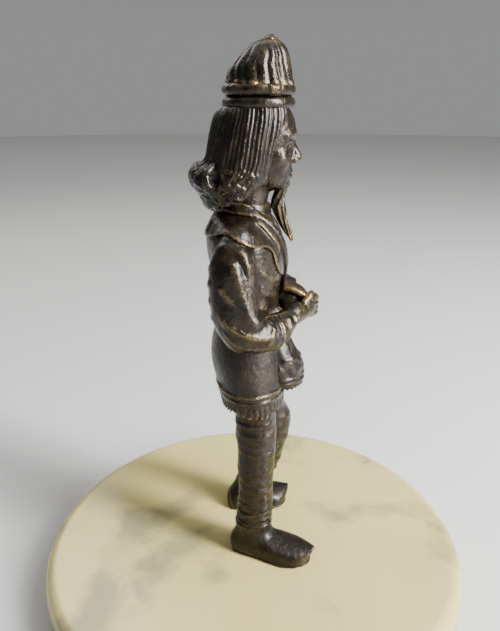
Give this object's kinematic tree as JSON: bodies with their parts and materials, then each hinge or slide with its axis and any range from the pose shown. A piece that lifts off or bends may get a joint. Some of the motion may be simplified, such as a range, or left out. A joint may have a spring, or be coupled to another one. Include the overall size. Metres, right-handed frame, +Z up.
{
  "type": "bronze statuette",
  "caption": "Small bronze figure of a bearded man in a ribbed cap and long-sleeved coat, hands clasped, standing on a round marble base.",
  "frame": {"origin": "centre of the underside of the felt pad, on the surface the statuette stands on", "axes": "+Z up; the figure faces -Y and its right side is towards -X"},
  "size_m": [0.1, 0.1, 0.1248],
  "materials": {
    "bronze": "cast bronze with a dark brown patina, worn to brassy gold on the raised edges",
    "marble": "polished cream marble with soft grey veins",
    "felt": "dark green felt",
    "steel": "plain steel dowels and M3 fasteners"
  },
  "bodies": {
    "root": {"beard": "bronze", "cap_crown": "bronze", "cap_finial": "bronze", "cap_pin": "steel", "cap_roll": "bronze", "cap_twist_band": "bronze", "coat_body": "bronze", "coat_skirt": "bronze", "collar": "bronze", "felt_pad": "felt", "front_flap": "bronze", "hair": "bronze", "head": "bronze", "hem_band": "bronze", "left_foot_stud": "steel", "left_hand": "bronze", "left_hip_pin": "steel", "left_lapel": "bronze", "left_leg": "bronze", "left_nut": "steel", "left_shoe": "bronze", "left_shoulder_pin": "steel", "left_sleeve": "bronze", "left_washer": "steel", "mantle": "bronze", "marble_base": "marble", "neck_pin": "steel", "right_foot_stud": "steel", "right_hand": "bronze", "right_hip_pin": "steel", "right_lapel": "bronze", "right_leg": "bronze", "right_nut": "steel", "right_shoe": "bronze", "right_shoulder_pin": "steel", "right_sleeve": "bronze", "right_washer": "steel", "waist_pin": "steel"}
  },
  "joints": []
}
